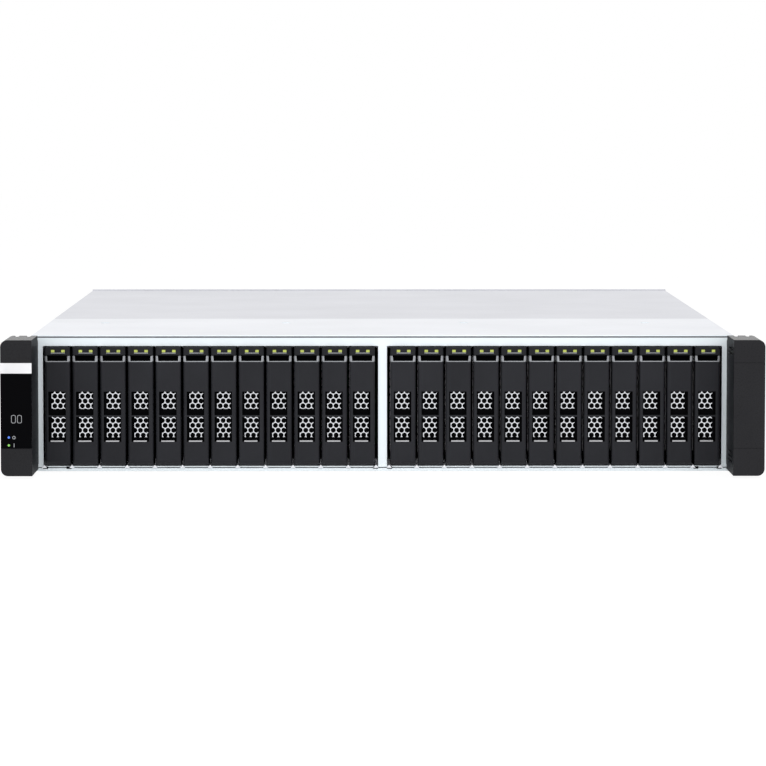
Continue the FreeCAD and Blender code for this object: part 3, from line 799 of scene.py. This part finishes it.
# %% Fill all bays
TRAY_PIECES = ((front_piece, "lever_plastic"), (guide_piece, "lever_plastic"), (sled_piece, "tray_metal"),
               (drive_piece, "tray_metal"), (pin_piece, "tray_metal"), (finger_piece, "tray_metal"))
for bay in BAYS:
    x = bay_middle(bay)
    fit(repeated(lever_piece, f"lever_{bay}_shell", x), f"lever_{bay}", "lever_plastic", f"lever_{bay}")
    fit(repeated(bar_piece, f"lever_{bay}_bar", x), f"lever_{bay}", "tray_metal")
    for piece, slot in TRAY_PIECES:
        copy = repeated(piece, f"tray_{bay}_{piece.name}", x)
        replaced = [f"tray_{bay}"] if piece is sled_piece else []
        fit(copy, f"tray_{bay}", slot, *replaced)
for piece in (lever_piece, bar_piece, *(piece for piece, slot in TRAY_PIECES)):
    bpy.data.objects.remove(piece)

# %% [markdown]
# The chassis and its rear cover are folded sheet. Their CAD surfaces are right, so they are copied, merged
# into flat faces and given the small radius that a folded edge has. Six small slots in the sill are cut out
# of the copy first. Bare zinc covers the sides; the front frame and the roof strip are paler.

# %% Chassis and rear cover
SLOT_X = (-217.1, -202.0, -4.5, 4.5, 202.0, 217.1)
SLOT_Z = (1.5, 3.0)
HALF_SLOT, SLOT_DEPTH = 1.6, 0.9
FLANGE_DEPTH, SEAM_DEPTH = 0.3, 0.7
SEAM_BELOW, SEAM_ABOVE = 3.0, 86.0
ROOF_ABOVE = 87.0
chassis_piece = skin("chassis", "chassis_sheet")
carve(chassis_piece, *[bar("slot", (x - HALF_SLOT, -1, SLOT_Z[0]), (x + HALF_SLOT, SLOT_DEPTH, SLOT_Z[1]))
                       for x in SLOT_X])
paint(soften(chassis_piece, 0.2), cover_steel, flange_steel, seam_shadow, tube_black_and_shade, roof_steel)
paint_faces(chassis_piece, 4, lambda x, y, z, n: n.z > 0.5 and z > ROOF_ABOVE)
paint_faces(chassis_piece, 1, lambda x, y, z, n: n.y < -0.5 and y < FLANGE_DEPTH)
# The back faces of the seams under the roof and above the sill take the near-black as a painted shadow.
paint_faces(chassis_piece, 2, lambda x, y, z, n: FLANGE_DEPTH < y < SEAM_DEPTH and n.y < -0.5
            and (z < SEAM_BELOW or z > SEAM_ABOVE))
# The faces inside the sill slots take the near-black as painted shade.
paint_faces(chassis_piece, 3, lambda x, y, z, n: 0.05 < y < SLOT_DEPTH + 0.05
            and SLOT_Z[0] - 0.05 < z < SLOT_Z[1] + 0.05
            and min(abs(x - slot) for slot in SLOT_X) < HALF_SLOT + 0.05)
fit(chassis_piece, "chassis", "galvanised_steel", "chassis")
cover_piece = soften(skin("top_cover", "rear_cover"), 0.2)
paint(cover_piece, cover_steel)
fit(cover_piece, "top_cover", "galvanised_steel", "top_cover")

# %% [markdown]
# Between the bays, small pointed tabs stand on the sill and guide each tray. One is a block drawn in to a
# point at its top, and it is copied to every gap.

# %% Guide tabs on the sill
SILL = 3.35
BAY_PITCH = 17.8
HALF_TAB, TAB_POINT = 1.7, 0.12


def tab_shape():
    """A pointed tab in the middle of the drawing, turned up from the sill's front edge."""
    tab = bar("tab", (-HALF_TAB, -1.2, SILL - 1.2), (HALF_TAB, 0, SILL + 0.7))
    for vertex in tab.data.vertices:
        x, y, z = drawing(vertex.co)
        if z > SILL:
            vertex.co.x *= TAB_POINT
    return soften(tab, 0.1)


tab_piece = tab_shape()
gaps = [bay_middle(bay) - BAY_PITCH / 2 for bay in BAYS]
gaps += [bay_middle(bay) + BAY_PITCH / 2 for bay in ("12", "24")]
tabs = gather("guide_tabs", *[repeated(tab_piece, "tab", x) for x in gaps])
bpy.data.objects.remove(tab_piece)
fit(paint(tabs, roof_steel), "chassis", "galvanised_steel")

# %% [markdown]
# Flat screws hold the roof strip. Each is a disc with a cross recess that stands a little above the sheet.

# %% Head of a roof screw
SCREW_RADIUS = 3.0
SCREW_Y = 130.0
SCREW_X = (-187, -64.6, 55.7, 178.4)
RECESS = ((1.7, 0.3), (0.3, 1.7))
ROOF = 87.8


def screw_shape():
    """Flat screw head with a cross recess, standing in the middle of the drawing."""
    head = rod("screw", (0, SCREW_Y, ROOF - 0.6), (0, SCREW_Y, ROOF + 0.35), SCREW_RADIUS)
    slots = [bar("slot", (-a, SCREW_Y - b, ROOF - 0.3), (a, SCREW_Y + b, ROOF + 1))
             for a, b in RECESS]
    return paint(soften(carve(head, *slots), 0.12), flange_steel)


screw_piece = screw_shape()

# %% [markdown]
# The ears are moulded housings with round outer corners. The left one has a seat across its face for a
# bare white plate and a gloss window; the right one has only two fine grooves. Short slots are cut in their
# inner sides. Behind each is a steel angle with the rack's screw holes.

# %% Rack ears
EAR_OUTER, EAR_INNER = 241.3, 221.5
EAR_FRONT, EAR_BACK = -48.5, -3.0
EAR_BOTTOM, EAR_TOP = 1.6, 87.7
HALF_CHASSIS = 225.5
BADGE = (66.6, 73.3)
SCREEN = (19.1, 66.3)
RACK_HOLE = (232.55, 22.425, 66.875)
RACK_HOLE_RADIUS = 3.4
EAR_SLOTS = (8.7, 11.8, 14.6, 77.3, 80.4)
EAR_SLOT_Y = (-40.0, -16.0)
EAR_ROUNDING = 4.5
SCREEN_DEPTH, BADGE_DEPTH = 1.6, 1.2
HALF_GROOVE, GROOVE_DEPTH = 0.15, 0.25
EAR_WALL, EAR_RIM = 2.4, 6.0
EAR_NOTCHES, NOTCH_RADIUS = (7.0, 14.4), 1.4


def ear_housing(side):
    """Housing of the ear on one side."""
    ear = bar("ear", (side * EAR_OUTER, EAR_FRONT, EAR_BOTTOM), (side * EAR_INNER, EAR_BACK, EAR_TOP))
    for level in (EAR_TOP, EAR_BOTTOM):
        round_edges(ear, lambda x, y, z: near(abs(x), EAR_OUTER) and near(z, level), EAR_ROUNDING, 10)
    edge = bar("edge", (side * (HALF_CHASSIS - 0.2), EAR_BACK - 2, EAR_BOTTOM + 3),
               (side * EAR_INNER, -0.1, EAR_TOP - 3))
    hollow = bar("hollow", (side * (EAR_OUTER - EAR_WALL), EAR_FRONT + EAR_RIM, EAR_BOTTOM + EAR_RIM),
                 (side * (EAR_INNER + EAR_WALL), 0, EAR_TOP - EAR_RIM))
    notch_x = [side * (EAR_OUTER - shift) for shift in EAR_NOTCHES]
    notches = [rod("notch", (x, EAR_BACK - 10, EAR_TOP + 0.2), (x, 0, EAR_TOP + 0.2), NOTCH_RADIUS, 16)
               for x in notch_x]
    slots = [bar("slot", (side * (EAR_INNER - 1), EAR_SLOT_Y[0], z),
                 (side * (EAR_INNER + 1.5), EAR_SLOT_Y[1], z + 1.2)) for z in EAR_SLOTS]
    return carve(fuse(ear, edge), hollow, *notches, *slots)


def ear_seat(low, high, depth):
    """A cutter across the ear's face."""
    return bar("seat", (-EAR_OUTER - 2, EAR_FRONT - 1, low), (-EAR_INNER + 2, EAR_FRONT + depth, high))


def rack_angle(side):
    """Steel angle behind an ear."""
    low, high = EAR_BOTTOM + 4, EAR_TOP - 4
    flange = bar("angle", (side * (EAR_OUTER - 0.8), EAR_BACK, low), (side * HALF_CHASSIS, 0, high))
    leg = bar("leg", (side * (HALF_CHASSIS + 2), EAR_BACK, low), (side * HALF_CHASSIS, 60, high))
    x = side * RACK_HOLE[0]
    holes = [rod("hole", (x, -5, z), (x, 2, z), RACK_HOLE_RADIUS) for z in RACK_HOLE[1:]]
    return paint(soften(carve(fuse(flange, leg), *holes), 0.3), canister_steel)


def ear_groove(z):
    """A cutter for one fine groove across the right ear's face."""
    return bar("groove", (EAR_INNER - 2, EAR_FRONT - 1, z - HALF_GROOVE),
               (EAR_OUTER + 2, EAR_FRONT + GROOVE_DEPTH, z + HALF_GROOVE))


left_ear = carve(ear_housing(-1), ear_seat(*SCREEN, SCREEN_DEPTH), ear_seat(*BADGE, BADGE_DEPTH))
right_ear = carve(ear_housing(1), ear_groove(SCREEN[0]), ear_groove(BADGE[1]))
for ear, name in ((left_ear, "left_ear"), (right_ear, "right_ear")):
    soften(ear, 0.35)
    paint(ear, ear_black, ear_shade)
    paint_faces(ear, 1, lambda x, y, z, n: abs(n.x) > 0.9 and abs(x) < EAR_INNER + 0.3)
    ear.name = name + "_housing"
    fit(ear, "chassis", "ear_plastic", name)
for side, name in ((-1, "left_rack_angle"), (1, "right_rack_angle")):
    angle = rack_angle(side)
    angle.name = name
    fit(angle, "chassis", "galvanised_steel")

# %% [markdown]
# The plate is bare. The window is a polished black sheet with a small read-out under it: two figures, two
# lamps and two plain marks, all a hair in front of the gloss so that they read as lit from within.

# %% Plate, window and read-out
FIGURE = (2.9, 5.2)
FIGURE_Z = 37.8
STROKE = 0.32
PROUD = 0.04
FIGURE_X = (-233.1, -229.3)
DOT_X, DOT_RADIUS = -236.1, 0.75
badge = bar("badge", (-EAR_OUTER, EAR_FRONT, BADGE[0]), (-EAR_INNER, EAR_FRONT + BADGE_DEPTH, BADGE[1]))
fit(paint(soften(badge, 0.25), badge_white), "chassis", "ear_plastic")
window = bar("display_glass", (-EAR_OUTER, EAR_FRONT, SCREEN[0]),
             (-EAR_INNER, EAR_FRONT + SCREEN_DEPTH, SCREEN[1]))
fit(paint(soften(window, 0.3), window_black), "chassis", "gloss_window", "display_window")


def round_bar(name, x, z, width, height, y):
    """A flat bar with full corners on the window."""
    block = bar(name, (x - width / 2, y[0], z - height / 2), (x + width / 2, y[1], z + height / 2))
    return round_edges(block, lambda a, b, c: near(abs(a - x), width / 2) and near(abs(c - z), height / 2),
                       0.38 * width, 5)


def figure_mark(name, x):
    """A plain zero of the read-out, the outline of an upright bar with full corners."""
    outer = round_bar(name, x, FIGURE_Z, FIGURE[0], FIGURE[1], (EAR_FRONT - PROUD, EAR_FRONT + 0.3))
    inner = round_bar("inner", x, FIGURE_Z, FIGURE[0] - 2 * STROKE, FIGURE[1] - 2 * STROKE,
                      (EAR_FRONT - 1, EAR_FRONT + 1))
    return carve(outer, inner)


def ring_mark(name, x, z, width, height, sides, stroke):
    """A flat outlined ring on the window."""
    bpy.ops.object.select_all(action="DESELECT")
    bpy.ops.mesh.primitive_circle_add(vertices=sides, radius=0.5, fill_type="NGON",
                                      location=place(x, EAR_FRONT, z), rotation=(math.radians(90), 0, 0))
    mark = bpy.context.object
    bpy.ops.object.mode_set(mode="EDIT")
    bpy.ops.mesh.select_all(action="SELECT")
    bpy.ops.transform.rotate(value=math.pi / sides, orient_axis="Y", center_override=place(x, EAR_FRONT, z))
    bpy.ops.object.mode_set(mode="OBJECT")
    mark.scale = (width * MM, height * MM, 1)
    settled(mark, name)
    bpy.ops.object.mode_set(mode="EDIT")
    bpy.ops.mesh.select_all(action="SELECT")
    bpy.ops.mesh.inset(thickness=stroke * MM, depth=0)
    bpy.ops.mesh.delete(type="FACE")
    bpy.ops.object.mode_set(mode="OBJECT")
    body = mark.modifiers.new("thick", "SOLIDIFY")
    body.thickness = PROUD * MM
    body.offset = 1
    bpy.ops.object.modifier_apply(modifier=body.name)
    return mark


figures = [figure_mark(f"figure_{n}", x) for n, x in enumerate(FIGURE_X)]
round_mark = ring_mark("round_mark", -232.9, 26.1, 2.1, 2.1, 20, 0.4)
for mark in (*figures, round_mark):
    fit(paint(mark, digit_grey), "chassis", "gloss_window")
for name, z, finish in (("lamp_blue_dot", 26.2, lamp_blue), ("lamp_green_dot", 21.2, lamp_green)):
    dot = rod(name, (DOT_X, EAR_FRONT - PROUD, z), (DOT_X, EAR_FRONT + 0.5, z), DOT_RADIUS, 24)
    fit(paint(soften(dot, 0.03), finish), "chassis", "gloss_window")
stroke_mark = bar("stroke_mark", (-233.0, EAR_FRONT - PROUD, 20.0), (-232.6, EAR_FRONT + 0.5, 22.4))
fit(paint(soften(stroke_mark, 0.03), digit_grey), "chassis", "gloss_window")

# %% [markdown]
# The roof screws are the last pieces of the front. The one head is copied to its four places.

# %% Place the roof screws
for number, x in enumerate(SCREW_X):
    fit(repeated(screw_piece, f"roof_screw_{number}", x), "chassis", "galvanised_steel")
bpy.data.objects.remove(screw_piece)

# %% [markdown]
# The midplane is one board across the unit with a connector for each drive. Its CAD surface is copied with a
# small bevel; faces in front of the board belong to the connectors and get their black.

# %% Midplane
MIDPLANE_Y = 136.0
midplane = soften(skin("midplane", "midplane_board"), 0.12)
paint(midplane, board_green, connector_black)
paint_faces(midplane, 1, lambda x, y, z, n: y < MIDPLANE_Y - 0.05)
fit(midplane, "chassis", "circuit_board", "midplane")

# %% [markdown]
# The canisters behind it are folded steel cases with crisp edges. The copy of each gets a green board and
# black plugs. Ports get their contacts, and the air openings a pierced sheet of the same honeycomb as the
# trays.

# %% Controller canisters
REAR = 548.0
UNIT_LOW = {"a": 43.3, "b": 1.5}
CAGES = [-96 + 14.6 * n + 7.3 for n in range(4)]
SOCKETS = [-22 + 17 * n + 8.5 for n in range(2)]
VENTS = [50 + 18 * n for n in range(4)]
CONTACT_X = [-4.2 + 1.2 * n for n in range(8)]
CONTACT_WIDTH = 0.6
PLUG_BACK = REAR - 371.9
BOARD = (4.9, 6.7)
PLUG_TOP = 18.1
HALF_PLUGS = 195.0


def contact(name, x, end, z, thickness):
    """One contact strip of a port, from inside the port to its end."""
    return bar(name, (x, REAR - 13.5, z), (x + CONTACT_WIDTH, end, z + thickness))


def port_insides(low):
    """Tongues of the module cages and contact springs of the network sockets."""
    tongues = [bar("tongue", (x - 5, REAR - 14, low + 12.2), (x + 5, REAR - 6, low + 13.4)) for x in CAGES]
    pads = [contact("pad", x + shift, REAR - 7, low + 13.35, 0.15) for x in CAGES for shift in CONTACT_X]
    springs = [contact("spring", x + shift, REAR - 4, low + 18.3, 0.3)
               for x in SOCKETS for shift in CONTACT_X]
    plastic = paint(gather("port_tongues", *tongues), connector_black)
    metal = paint(gather("port_contacts", *pads, *springs), contact_gold)
    return plastic, metal


def canister_skin(name, low):
    """Case of one canister with its board and plugs in their own finishes."""
    case = crisp(skin(f"controller_{name}", f"canister_{name}_case", False))
    paint(case, canister_steel, board_green, connector_black)
    paint_faces(case, 1, lambda x, y, z, n: low + BOARD[0] < z < low + BOARD[1] and abs(n.z) > 0.9)
    paint_faces(case, 2, lambda x, y, z, n: y < PLUG_BACK and low + BOARD[1] < z < low + PLUG_TOP
                and abs(x) < HALF_PLUGS)
    return case


for name, low in UNIT_LOW.items():
    body = f"controller_{name}"
    fit(canister_skin(name, low), body, "canister_steel", body)
    for piece in port_insides(low):
        piece.name = f"canister_{name}_{piece.name}"
        fit(piece, body, "canister_steel")
    panels = [honeycomb("panel", (x, x + 14), REAR - 3, (low + 8, low + 32), (x + 7, low + 20))
              for x in VENTS]
    fit(paint(gather(f"canister_{name}_vents", *panels), grille_steel), body, "canister_steel")
    lever = soften(skin(f"controller_lever_{name}", f"canister_{name}_lever"), 0.4, 3)
    fit(paint(lever, lever_black), f"controller_lever_{name}", "lever_plastic", f"controller_lever_{name}")

# %% [markdown]
# A power supply is a narrow case with an inlet, a loop handle and a fan that shows through its slots. The
# fan's blade is a thin bar that is turned and copied round the hub.

# %% Power supplies
SUPPLY_LEFT = 145.5
FAN_BLADES = 7
BLADE_PITCH = math.radians(35)
INLET_LOW, INLET_HIGH = (5.9, -22.1, 8.9), (34.1, 0.1, 30.1)


def fan_shape(low):
    """Hub and seven blades behind the slots of a supply."""
    x, z = SUPPLY_LEFT + 53.5, low + 20
    hub = rod("hub", (x, REAR - 16, z), (x, REAR - 5, z), 6)
    blades = []
    middle = place(x, REAR - 10.5, z)
    for number in range(FAN_BLADES):
        blade = bar("blade", (x - 2.6, REAR - 11, z + 5), (x + 2.6, REAR - 10, z + 15))
        alone(blade)
        bpy.ops.object.mode_set(mode="EDIT")
        bpy.ops.mesh.select_all(action="SELECT")
        bpy.ops.transform.rotate(value=BLADE_PITCH, orient_axis="Z", center_override=middle)
        turn = math.radians(360 / FAN_BLADES * number)
        bpy.ops.transform.rotate(value=turn, orient_axis="Y", center_override=middle)
        bpy.ops.object.mode_set(mode="OBJECT")
        blades.append(blade)
    return paint(soften(gather("fan", hub, *blades), 0.2), connector_black)


def inlet_blades(low):
    """Three contact blades of the mains inlet."""
    x, z = SUPPLY_LEFT + 20, low + 19.5
    places = ((x - 7, z - 2), (x, z + 2.5), (x + 7, z - 2))
    blades = [bar("blade", (a - 1, REAR - 16, b - 2), (a + 1, REAR - 4, b + 2)) for a, b in places]
    return paint(gather("inlet_blades", *[soften(blade, 0.3) for blade in blades]), grille_steel)


for name, low in UNIT_LOW.items():
    body = f"power_supply_{name}"
    case = crisp(skin(body, f"supply_{name}_case", False))
    paint(case, canister_steel, connector_black)
    corner = Vector((SUPPLY_LEFT, REAR, low))
    paint_inside(case, 1, corner + Vector(INLET_LOW), corner + Vector(INLET_HIGH))
    paint_faces(case, 1, lambda x, y, z, n: y > REAR + INLET_HIGH[1])
    fit(case, body, "canister_steel", body)
    for piece in (fan_shape(low), inlet_blades(low)):
        piece.name = f"supply_{name}_{piece.name}"
        fit(piece, body, "canister_steel")

# %% [markdown]
# The studio is a white room: a pale floor, a white sky for the camera and for reflections, and soft light
# from above, the front and both sides. The floor shows as white but still takes the object's shadow.

# %% Studio
SKY_LIGHT = 0.55
FLOOR_SIZE, FLOOR_GAP = 12, 0.0004
FLOOR_GLOW, FLOOR_VEIL = 1.05, 0.9


def white_to_camera(tree, normal_shader, white_shader, output):
    """Shows one shader to camera, mirror and glass rays, and another to the rest."""
    path = tree.nodes.new("ShaderNodeLightPath")
    first = tree.nodes.new("ShaderNodeMath")
    first.operation = "MAXIMUM"
    second = tree.nodes.new("ShaderNodeMath")
    second.operation = "MAXIMUM"
    mix = tree.nodes.new("ShaderNodeMixShader")
    tree.links.new(path.outputs["Is Camera Ray"], first.inputs[0])
    tree.links.new(path.outputs["Is Glossy Ray"], first.inputs[1])
    tree.links.new(first.outputs[0], second.inputs[0])
    tree.links.new(path.outputs["Is Transmission Ray"], second.inputs[1])
    tree.links.new(second.outputs[0], mix.inputs["Fac"])
    tree.links.new(normal_shader.outputs[0], mix.inputs[1])
    tree.links.new(white_shader.outputs[0], mix.inputs[2])
    tree.links.new(mix.outputs[0], output.inputs["Surface"])


def studio_world():
    """White sky for the camera, softer white for lighting."""
    world = bpy.data.worlds.new("studio")
    bpy.context.scene.world = world
    world.use_nodes = True
    tree = world.node_tree
    soft = tree.nodes["Background"]
    soft.inputs["Color"].default_value = (1, 1, 1, 1)
    soft.inputs["Strength"].default_value = SKY_LIGHT
    white = tree.nodes.new("ShaderNodeBackground")
    white.inputs["Strength"].default_value = 1.0
    white.inputs["Color"].default_value = (1, 1, 1, 1)
    white_to_camera(tree, soft, white, tree.nodes["World Output"])


def studio_floor():
    """Pale floor that keeps a soft shadow under white."""
    bpy.ops.object.select_all(action="DESELECT")
    bpy.ops.mesh.primitive_plane_add(size=FLOOR_SIZE, location=(0, 0, -FLOOR_GAP))
    floor = bpy.context.object
    floor.name = "floor"
    finish, tree, shader = new_finish("floor_white", (0.9, 0.9, 0.9), 0.0, 0.9)
    white = tree.nodes.new("ShaderNodeEmission")
    white.inputs["Strength"].default_value = FLOOR_GLOW
    veil = tree.nodes.new("ShaderNodeMixShader")
    veil.inputs["Fac"].default_value = FLOOR_VEIL
    tree.links.new(shader.outputs[0], veil.inputs[1])
    tree.links.new(white.outputs[0], veil.inputs[2])
    white_to_camera(tree, shader, veil, tree.nodes["Material Output"])
    floor.data.materials.append(finish)


def soft_light(name, where, aim_at, size, power):
    """A large square lamp, kept out of mirror images, where it would show as a white patch."""
    data = bpy.data.lights.new(name, "AREA")
    data.size = size
    data.energy = power
    lamp = bpy.data.objects.new(name, data)
    bpy.context.scene.collection.objects.link(lamp)
    lamp.location = where
    lamp.visible_glossy = False
    lamp.rotation_euler = (Vector(aim_at) - lamp.location).to_track_quat("-Z", "Y").to_euler()


studio_world()
studio_floor()
soft_light("key_above", (0.3, -0.9, 1.7), (0, 0, 0), 1.6, 14)
soft_light("front_fill", (0, -2.7, 0.7), (0, 0, 0.05), 1.4, 20)
soft_light("left_side", (-1.6, -1.2, 0.8), (0, -0.2, 0.04), 1.0, 5)
soft_light("right_side", (1.6, -1.2, 0.8), (0, -0.2, 0.04), 1.0, 5)
